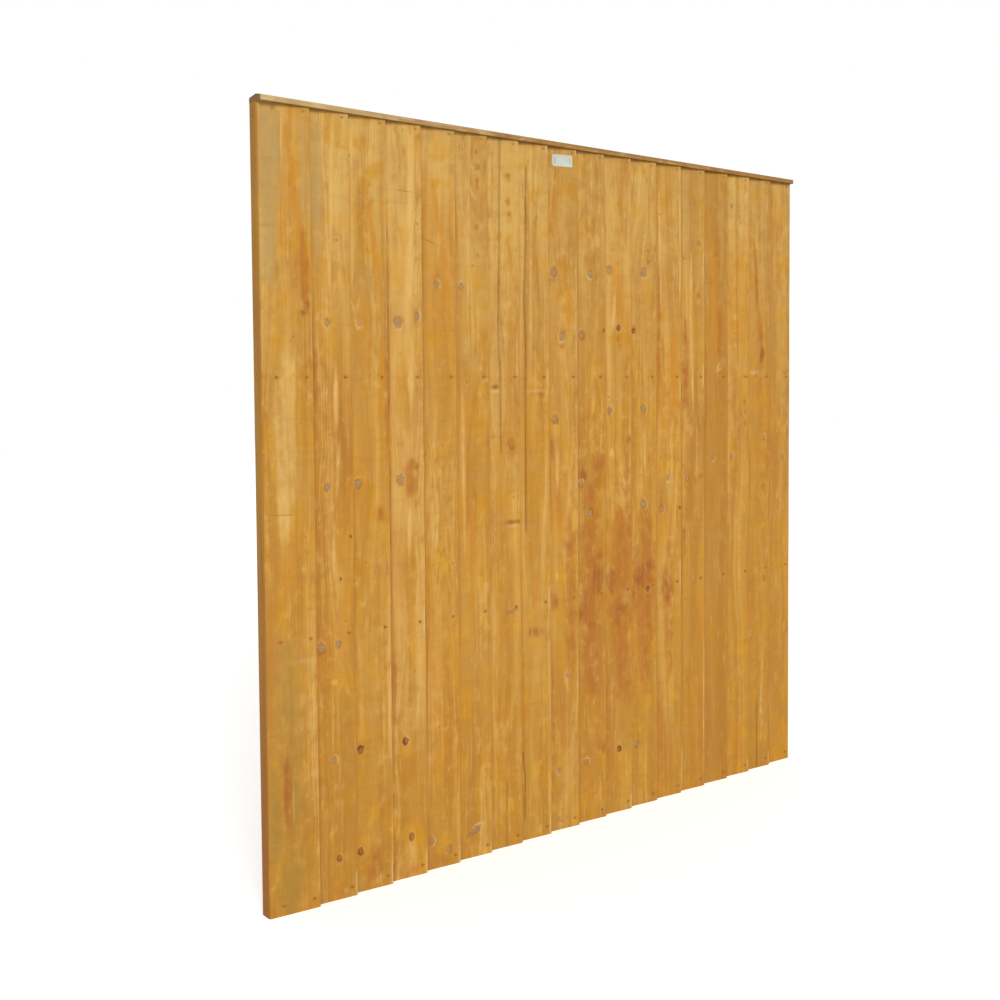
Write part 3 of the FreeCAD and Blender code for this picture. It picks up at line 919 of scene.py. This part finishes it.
# Opens the splits, sinks the knots and chips the bare edges
def carveBoard(piece, number, marks):
    local, front = boardSpots(piece, number)
    across, depth, up = local.T.copy()
    proud = depth - frontAt(across)
    step = (boardWidth - boards["arris"]) / boards["columns"]
    column = np.rint(across / step)
    onFront = front > marking["onFront"]
    for line in marks["splits"]:
        middle = np.interp(up, line[:, 1], line[:, 0])
        gape = alongLine(up, line[0, 1], line[-1, 1], marking["splitFade"]) * onFront
        own = np.rint(line[:, 0].mean() / step)
        aside = column - own
        pull = np.clip(1 - np.abs(aside) / marking["splitReach"], 0, 1) * onFront
        across += (middle - own * step) * pull
        tight = middle + aside * marking["splitOpen"]
        across = np.where(np.abs(aside) <= 1, across + (tight - across) * gape, across)
        proud += np.where(aside == 0, marking["splitDeep"] * gape, 0)
    for _, a, z, wide, long, _ in marks["knots"]:
        hollow = np.exp(-((across - a) / wide) ** 2 - ((up - z) / long) ** 2)
        proud += marking["knotHollow"] * hollow * onFront
    for low, high in marks["bare"]:
        chip = easing(across, boardWidth - marking["chipFrom"], boardWidth) * front
        across -= marking["edgeChip"] * chip * alongLine(up, low, high, marking["bareFade"])
    depth = np.where(onFront, frontAt(across) + proud, depth)
    outward = np.array(boardPlaces[number])
    spots = np.stack([across, depth, up], 1) @ outward[:3, :3].T + outward[:3, 3]
    piece.data.vertices.foreach_set("co", spots.ravel())
    piece.data.update()


# Which knot each point is nearest to, what kind it is, and how the grain bends round all of them
def knotLayers(local, knotMarks, chance):
    across, _, up = local.T
    place = np.zeros((len(local), 3))
    look = np.zeros((len(local), 3))
    rim = np.zeros(len(local))
    bend = np.zeros(len(local))
    nearest = np.full(len(local), np.inf)
    kinds = {"grey": (1, 0, 0), "dark": (0, 1, 0), "red": (0, 0, 1), "pale": (0, 0, 0)}
    for kind, a, z, wide, long, lean in knotMarks:
        x, y = across - a, up - z
        bend += x / ((x / wide) ** 2 + (y / wide * marking["bendAlong"]) ** 2 + marking["bendSoft"])
        aside, along = turned(x, y, lean)
        aside, along = aside / wide, along / long
        span = np.hypot(aside, along)
        gaps = [math.hypot(a - b, z - h) / wide for _, b, h, *_ in knotMarks if (b, h) != (a, z)]
        limit = min([marking["knotReach"]] + [marking["knotToNext"] * gap for gap in gaps])
        x, y = turned(aside, along, chance.uniform(0, 2 * math.pi))
        closer = span < nearest
        nearest = np.where(closer, span, nearest)
        here = easing(span, limit, limit * marking["knotFade"])
        place[closer] = np.stack([x, y, here], 1)[closer]
        look[closer] = np.array(kinds[kind]) * chance.uniform(*marking["knotStrength"])
        rim[closer] = chance.uniform(*marking["knotRim"])
    return place, look, rim, bend


# How strong each stain is, from streaks, dabs, and clouds above or below the knots
def stainLayers(local, marks, chance):
    across, _, up = local.T
    layers = {kind: np.zeros(len(local)) for kind in ("orange", "brown", "pale", "olive", "red", "bare")}
    for kind, line, strength in marks["streaks"]:
        middle, half = (np.interp(up, line[:, 1], line[:, i]) for i in (0, 2))
        low, high = line[0, 1], line[-1, 1]
        ends = alongLine(up, low, high, min(marking["streakFade"], (high - low) / 3))
        mask = np.exp(-((across - middle) / half) ** 2) * ends * strength
        layers[kind] = np.maximum(layers[kind], mask)
    for kind, a, z, wide, high, strength in marks["dabs"]:
        mask = np.exp(-((across - a) / wide) ** 2 - ((up - z) / high) ** 2) * strength
        layers[kind] = np.maximum(layers[kind], mask)
    for _, a, z, wide, *_ in marks["knots"]:
        kind = chance.choice(["orange", "brown", "pale"])
        lift = chance.uniform(-marking["cloudLift"], marking["cloudLift"])
        x = (across - a) / wide / marking["cloudWide"]
        y = ((up - z) / wide - lift) / marking["cloudTall"]
        layers[kind] = np.maximum(layers[kind], np.exp(-x ** 2 - y ** 2) * marking["cloudShare"])
    for low, high in marks["bare"]:
        mask = easing(across, boardWidth - marking["bareFrom"], boardWidth - marking["bareFull"])
        mask = mask * alongLine(up, low, high, marking["bareFade"])
        layers["bare"] = np.maximum(layers["bare"], mask)
    return layers


# Where each point lies from its nearest nail, in mm
def nailLayer(local, number):
    place = np.zeros((len(local), 3))
    nearest = np.full(len(local), np.inf)
    for a, z in nailSpots(number):
        x, y = (local[:, 0] - a) * 1000, (local[:, 2] - z) * 1000
        span = np.hypot(x, y)
        closer = span < nearest
        nearest = np.where(closer, span, nearest)
        place[closer] = np.stack([x, y, easing(span, *marking["nailDirt"])], 1)[closer]
    return place


# Writes what the wood's material reads
def paintBoard(piece, number, marks):
    local, front = boardSpots(piece, number)
    across, depth, up = local.T
    chance = np.random.default_rng(number + marking["firstSeed"])
    wide = (pinKnots["fromThinEdge"], boardWidth - pinKnots["fromThickEdge"])
    tall = (pinKnots["fromEnds"], boardLength - pinKnots["fromEnds"])
    pins = [
        ("red", chance.uniform(*wide), chance.uniform(*tall), size, size, 0.0)
        for size in chance.uniform(pinKnots["small"], pinKnots["large"], pinKnots["each"])
    ]
    knotPlace, knotLook, rim, bend = knotLayers(local, marks["knots"] + pins, chance)
    stains = {kind: layer * front for kind, layer in stainLayers(local, marks, chance).items()}
    nailPlace = nailLayer(local, number)
    nailPlace[:, 2] *= front
    seam = boardWidth - boardPitch
    lap = easing(across, seam + marking["lapFrom"], seam + marking["lapFull"]) * front * lapStainAndShade[number]
    # painted shade along each split, darkest at its middle
    split = np.zeros(len(local))
    for line in marks["splits"]:
        aside = np.abs(across - np.interp(up, line[:, 1], line[:, 0]))
        inside = alongLine(up, line[0, 1], line[-1, 1], marking["splitFade"])
        split = np.maximum(split, easing(aside, marking["splitShade"], 0.0) * inside * front)
    look = [chance.uniform(0, 1), boardTones[number], boardWidth * chance.uniform(0.1, 0.9)]
    layers = {
        "grainPlace": (across - bend, depth, up),
        "boardLook": [np.full(len(local), value) for value in look],
        "knotPlace": knotPlace.T,
        "knotLook": knotLook.T,
        "nailPlace": nailPlace.T,
        "stain": (stains["orange"], stains["brown"], stains["pale"]),
        "wear": (stains["olive"], stains["bare"], stains["red"]),
        "seams": (lap, split, rim),
    }
    for name, parts in layers.items():
        layer = piece.data.attributes.new(name, "FLOAT_VECTOR", "POINT")
        layer.data.foreach_set("vector", np.stack(parts, 1).astype(np.float32).ravel())


def makeBoards():
    tree = boardTree()
    wood = stainedPine()
    marks = marksOnBoards()
    faces = 0
    for number, name in enumerate(boardNames):
        piece = newObject("pine_" + name, bpy.data.meshes.new(name))
        grow(piece, tree, {
            "Width": boardWidth, "Thin Edge": boards["thinEdge"], "Thick Edge": boards["thickEdge"],
            "Arris": boards["arris"], "Length": boardLength, "Columns": boards["columns"],
            "Row Step": boards["rowStep"], "Edge Wave": boards["edgeWave"], "Face Wave": boards["faceWave"],
            "Seed": number * boards["seedStep"], "Lean": leans[number],
            "Place": boardPlaces[number].translation, "Wood": wood,
        })
        carveBoard(piece, number, marks[number])
        paintBoard(piece, number, marks[number])
        smoothShade(piece)
        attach(piece, "root")
        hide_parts(name)
        faces += len(piece.data.polygons)
    print("boards made:", boardCount, "with", faces, "faces")


makeBoards()


# Sawn softwood of the frame and the cap, with the grain along one axis
timber = {
    "frame": {"wood": (0.54, 0.276, 0.052), "pale": (0.62, 0.36, 0.08), "deep": (0.33, 0.135, 0.028)},
    "cap": {"wood": (0.50, 0.280, 0.072), "pale": (0.66, 0.50, 0.23), "deep": (0.30, 0.125, 0.030)},
    "endGrain": (0.20, 0.085, 0.028),
    "shade": (0.15, 0.060, 0.022),
    "foot": (0.38, 0.140, 0.034),
    "knot": (0.24, 0.090, 0.028),
    "roughness": 0.6,
    "shine": 0.1,
    "heart": 0.02,               # where the middle of the rings lies across the grain
    "seedStep": 0.2,             # pieces this far apart differ in their grain
    "capEdge": 0.012,            # height of the cap's front edge
}


# The cap has pale patches, most at the left, a darker upper edge, dark ends and deep shade underneath
def capLayers(root, x, z):
    patches = root.vector(x * 15.0, 3.0, z * 50.0).noise(3.0, 0.6)
    shoulder = boardLength + timber["capEdge"]
    end = cadBox[1].x
    return [
        ("deep", patches.ease(0.5, 0.3) * 0.7),
        ("pale", x.ease(-0.1, -0.9) * 0.45),
        ("deep", x.ease(-0.4, 0.3) * 0.35),
        ("pale", patches.ease(0.5, 0.66) * x.ease(1.4, -0.7) * 0.8),
        ("deep", z.ease(shoulder - 0.006, shoulder - 0.001) * x.ease(-0.7, 0.1) * 0.6),
        ("endGrain", x.calc("ABSOLUTE").ease(end - 0.0012, end - 0.0004) * 0.8),
        ("shade", z.ease(boardLength + 0.0009, boardLength + 0.0001) * 0.5),
    ]


def sawnTimber(name, kind, alongX):
    look = {**timber, **timber[kind]}
    material, root, shader = newMaterial(name)
    x, y, z = objectPlace(root)
    across, up = (z, x) if alongX else (x, z)
    grain = grainOf(root, across, y, up, across.calc("SNAP", look["seedStep"]), look["heart"])
    # a few knots, one in some of the cells that fill the wood
    cells = {"Vector": root.vector(across * 14.0, y * 14.0, up * 5.0), "Scale": 1.0}
    cells = root.add("ShaderNodeTexVoronoi", None, cells, "Distance")
    chosen = Wire(root.tree, cells.socket.node.outputs["Color"]).parts()[0].ease(0.6, 0.62)
    layers = [
        ("wood", 0.5),
        ("pale", grain["bands"].ease(0.48, 0.68) * 0.55),
        ("pale", grain["streaks"].ease(0.52, 0.76) * 0.4),
        ("deep", grain["streaks"].ease(0.46, 0.26) * 0.35),
        ("deep", grain["late"] * 0.3),
        ("deep", grain["fibres"].ease(0.45, 0.75) * 0.25),
        ("knot", cells.ease(0.17, 0.08) * chosen * 0.8),
        ("pale", cells.near(0.2, 0.05) * chosen * 0.4),
    ]
    if kind == "frame":
        layers.append(("foot", z.ease(1.0, 0.0) * 0.8))   # redder towards the foot
    if kind == "cap":
        layers += capLayers(root, x, z)
    colour = grain["blotch"].ease(0.3, 0.7).between(look["wood"], look["deep"])
    colour.coated(look, layers).into(shader, "Base Color")
    (grain["fibres"] * 0.2 + look["roughness"]).into(shader, "Roughness")
    saw = root.vector(up * 420.0, y * 20.0, across * 20.0).noise(2.0)
    height = grain["fibres"] * 0.4 + grain["late"] * 0.25 + saw * 0.6
    height.bump(0.6, 0.001).into(shader, "Normal")
    shader.inputs["Specular IOR Level"].default_value = look["shine"]
    return material


# Steel that has darkened in the weather
steel = {
    "nail": {
        "bright": (0.470, 0.235, 0.038), "dark": (0.290, 0.124, 0.016),
        "metallic": 0.1, "shine": 0.08, "rusty": 0.3,
    },
    "brad": {
        "bright": (0.27, 0.165, 0.080), "dark": (0.120, 0.068, 0.034),
        "metallic": 0.4, "shine": 0.3, "rusty": 0.8,
    },
    "staple": {
        "bright": (0.60, 0.59, 0.55), "dark": (0.26, 0.25, 0.23),
        "metallic": 0.5, "shine": 0.5, "rusty": 0.3,
    },
    "rust": (0.14, 0.052, 0.020),
    "stain": (0.46, 0.245, 0.068),   # over the nails of the top row
    "roughness": 0.4,
}


def darkSteel(kind):
    look = steel[kind]
    material, root, shader = newMaterial(kind + "Steel")
    x, y, z = objectPlace(root)
    spots = root.vector(x * 900.0, y * 900.0, z * 900.0).noise(3.0)
    each = root.vector(x * 14.0, y * 14.0, z * 14.0).noise(1.0)
    rust = (spots * 0.6 + each).ease(0.7, 1.0) * look["rusty"]
    colour = spots.ease(0.35, 0.7).between(look["dark"], look["bright"]).tinted(steel["rust"], rust)
    if kind == "nail":
        high = z.ease(nailRows[-2] + 0.1, nailRows[-1])
        colour = colour.tinted(steel["stain"], high * (each * 0.6 + 0.5))
    colour.into(shader, "Base Color")
    (look["metallic"] - rust * look["metallic"]).into(shader, "Metallic")
    (spots * 0.3 + steel["roughness"]).into(shader, "Roughness")
    spots.bump(0.4, 0.0002).into(shader, "Normal")
    shader.inputs["Specular IOR Level"].default_value = look["shine"]
    return material


def dress(names, material):
    for name in names:
        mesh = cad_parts[name].data
        mesh.materials.clear()
        mesh.materials.append(material)


dress(("upright_left", "upright_right"), sawnTimber("frameUprightWood", "frame", False))
dress(railNames, sawnTimber("frameRailWood", "frame", True))
dress(("capping_rail",), sawnTimber("capWood", "cap", True))
dress(("frame_nails", "cap_nails"), darkSteel("brad"))
print("frame and cap dressed")


# Nails that hold the boards
nails = {
    "headWidth": 0.006,
    "headHeight": 0.001,
    "shankWidth": 0.0026,
    "length": 0.035,
    "sides": 12,
    "tiltScatter": 0.05,
    "seed": 5,
    "weld": 0.00001,             # points nearer than this are joined
}


def nailTree():
    inputs = {
        "Points": "Geometry", "Head Width": "Float", "Head Height": "Float", "Shank Width": "Float",
        "Length": "Float", "Sides": "Int", "Tilt Scatter": "Float", "Seed": "Int", "Steel": "Material",
    }
    root, given, end = newTree("boardNails", inputs)
    head = given["Head Width"] / 2
    high, shank, length = given["Head Height"], given["Shank Width"] / 2, given["Length"]
    profile = [   # radius and height, from the point up to the middle of the head
        (0.0, 0 - length), (shank, shank * 3 - length), (shank, 0.0), (head * 0.94, 0.0),
        (head, high * 0.3), (head * 0.96, high * 0.7), (head * 0.8, high * 0.95), (0.0, high),
    ]
    # a sheet wrapped round the nail's axis
    around = given["Sides"] + 1
    sheet = {"Vertices X": len(profile), "Vertices Y": around}
    sheet = root.add("GeometryNodeMeshGrid", None, sheet, "Mesh")
    index = root.add("GeometryNodeInputIndex")
    ring = (index / around).calc("FLOOR")
    angle = (index - ring * around) * (2 * math.pi) / given["Sides"]
    radius, height, _ = pickPoint(root, ring, profile).parts()
    wrapped = root.vector(radius * angle.calc("COSINE"), radius * angle.calc("SINE"), height)
    nail = root.add("GeometryNodeSetPosition", None, {"Geometry": sheet, "Position": wrapped})
    nail = root.add("GeometryNodeMergeByDistance", None, {"Geometry": nail, "Distance": nails["weld"]})

    out = root.add("GeometryNodeInputNamedAttribute", {"data_type": "FLOAT_VECTOR"}, {"Name": "outward"})
    spread = {"Min": (-1, -1, -1), "Max": (1, 1, 1), "Seed": given["Seed"]}
    scatter = root.add("FunctionNodeRandomValue", {"data_type": "FLOAT_VECTOR"}, spread)
    lean = {0: scatter, "Scale": given["Tilt Scatter"]}
    lean = root.add("ShaderNodeVectorMath", {"operation": "SCALE"}, lean)
    aim = root.add("ShaderNodeVectorMath", {"operation": "ADD"}, {0: out, 1: lean})
    turn = root.add("FunctionNodeAlignRotationToVector", {"axis": "Z"}, {"Vector": aim})
    placed = {"Points": given["Points"], "Instance": nail, "Rotation": turn}
    endTree(root, root.add("GeometryNodeInstanceOnPoints", None, placed), given["Steel"], end)
    return root.tree


def makeNails():
    places, ways = [], []
    for number, turn in enumerate(boardPlaces):
        for across, up in nailSpots(number):
            places.append(turn @ Vector((across, frontAt(across), up)))
            ways.append(turn.to_3x3() @ Vector((-math.sin(taper), -math.cos(taper), 0)))
    mesh = bpy.data.meshes.new("nailPoints")
    mesh.from_pydata(places, [], [])
    outward = mesh.attributes.new("outward", "FLOAT_VECTOR", "POINT")
    outward.data.foreach_set("vector", [value for way in ways for value in way])
    piece = grow(newObject("steel_board_nails", mesh), nailTree(), {
        "Head Width": nails["headWidth"], "Head Height": nails["headHeight"],
        "Shank Width": nails["shankWidth"], "Length": nails["length"], "Sides": nails["sides"],
        "Tilt Scatter": nails["tiltScatter"], "Seed": nails["seed"], "Steel": darkSteel("nail"),
    })
    smoothShade(piece)
    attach(piece, "root")
    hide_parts("board_nails")
    print("nails made:", len(places), "with", len(piece.data.polygons), "faces")


makeNails()


# Small bare plate under the cap, held by two staples
plate = {
    "middle": (562.1, 160.8),    # in the photo
    "width": 0.0645,
    "height": 0.031,
    "thickness": 0.0011,
    "bedded": 0.0002,            # how far its back lies in the wood
    "corner": 0.0055,
    "leastCorner": 0.001,
    "cornerSteps": 5,
    "tilt": 1.2,                 # the right end up, degrees
    "rim": 0.0015,
    "sink": 0.00025,             # of the field inside the rim
    "enamel": (0.57, 0.60, 0.51),
    "enamelLight": (0.64, 0.66, 0.58),
    "speck": (0.50, 0.50, 0.44),
    "brushed": (0.56, 0.58, 0.58),
    "roughness": 0.32,
    "stapleFromEnd": 0.0075,
    "stapleHeight": 0.016,
    "stapleWire": 0.0014,
    "stapleLeg": 0.003,
}


def plateMaterial():
    material, root, shader = newMaterial("plateEnamel")
    x, y, z = objectPlace(root)
    cloud = root.vector(x * 60.0, y * 60.0, z * 60.0).noise(3.0)
    specks = root.vector(x * 700.0, y * 700.0, z * 700.0).noise(2.0)
    brushed = root.vector(x * 900.0, y * 900.0, z * 30.0).noise(2.0)
    colour = cloud.ease(0.3, 0.7).between(plate["enamel"], plate["enamelLight"])
    colour = colour.coated(plate, [
        ("speck", specks.ease(0.62, 0.8) * 0.5),
        ("brushed", brushed.ease(0.5, 0.75) * 0.35),
    ])
    colour.into(shader, "Base Color")
    (specks * 0.25 + plate["roughness"]).into(shader, "Roughness")
    (brushed + cloud).bump(0.25, 0.0003).into(shader, "Normal")
    return material


# Points of a rectangle with round corners
def roundedCorners(width, height, corner):
    steps = plate["cornerSteps"]
    points = []
    for turn, (sideX, sideY) in enumerate(((1, 1), (-1, 1), (-1, -1), (1, -1))):
        for step in range(steps + 1):
            angle = math.pi / 2 * (turn + step / steps)
            points.append((sideX * (width / 2 - corner) + corner * math.cos(angle),
                           sideY * (height / 2 - corner) + corner * math.sin(angle)))
    return points


def plateMesh():
    rim, thick = plate["rim"], plate["thickness"]
    layers = (   # inset from the outline, height over the face
        (0.0, -plate["bedded"]), (0.0, thick * 0.6), (rim * 0.25, thick), (rim, thick),
        (rim * 1.3, thick - plate["sink"]),
    )
    shape = bmesh.new()
    loops = []
    for inset, height in layers:
        width, tall = plate["width"] - 2 * inset, plate["height"] - 2 * inset
        points = roundedCorners(width, tall, max(plate["corner"] - inset, plate["leastCorner"]))
        loops.append([shape.verts.new((x, y, height)) for x, y in points])
    for lower, upper in zip(loops, loops[1:]):
        for i in range(len(lower)):
            j = (i + 1) % len(lower)
            shape.faces.new((lower[i], lower[j], upper[j], upper[i]))
    shape.faces.new(loops[-1])
    shape.faces.new(loops[0][::-1])
    mesh = bpy.data.meshes.new("plate")
    shape.to_mesh(mesh)
    shape.free()
    return mesh


# Two staples as bent wire, turned into a mesh
def stapleMesh():
    wire = plate["stapleWire"]
    curve = bpy.data.curves.new("plateStaples", "CURVE")
    curve.dimensions = "3D"
    curve.bevel_depth = wire / 2
    curve.bevel_resolution = 2
    curve.use_fill_caps = True
    crown = plate["thickness"] - plate["sink"] + wire * 0.35
    half, leg, bend = plate["stapleHeight"] / 2, plate["stapleLeg"], wire * 0.55
    for side in (-1, 1):
        x = side * (plate["width"] / 2 - plate["stapleFromEnd"])
        path = [(x, -half, -leg), (x, -half, crown - bend), (x, bend - half, crown),
                (x, half - bend, crown), (x, half, crown - bend), (x, half, -leg)]
        spline = curve.splines.new("POLY")
        spline.points.add(len(path) - 1)
        for point, spot in zip(spline.points, path):
            point.co = (*spot, 1)
    bent = newObject("plateStaples", curve)
    depsgraph = bpy.context.evaluated_depsgraph_get()
    mesh = bpy.data.meshes.new_from_object(bent.evaluated_get(depsgraph))
    bpy.data.objects.remove(bent)
    mesh.materials.clear()
    return mesh


def makePlate():
    number, across, up = onBoard(*plate["middle"])
    # the plate's own frame: x along the board's face, y up, z out of the face
    face = boardPlaces[number] @ Matrix.Translation((across, frontAt(across), up))
    face = face @ Matrix.Rotation(-taper, 4, "Z") @ Matrix.Rotation(math.pi / 2, 4, "X")
    face = face @ Matrix.Rotation(math.radians(plate["tilt"]), 4, "Z")
    pieces = (
        ("bare_plate", plateMesh(), plateMaterial()),
        ("plate_staples", stapleMesh(), darkSteel("staple")),
    )
    for name, mesh, material in pieces:
        mesh.transform(face)
        mesh.materials.append(material)
        piece = newObject(name, mesh)
        smoothShade(piece)
        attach(piece, "root")
    print("plate on board", number + 1, "at", round(across, 3), round(up, 3))


makePlate()
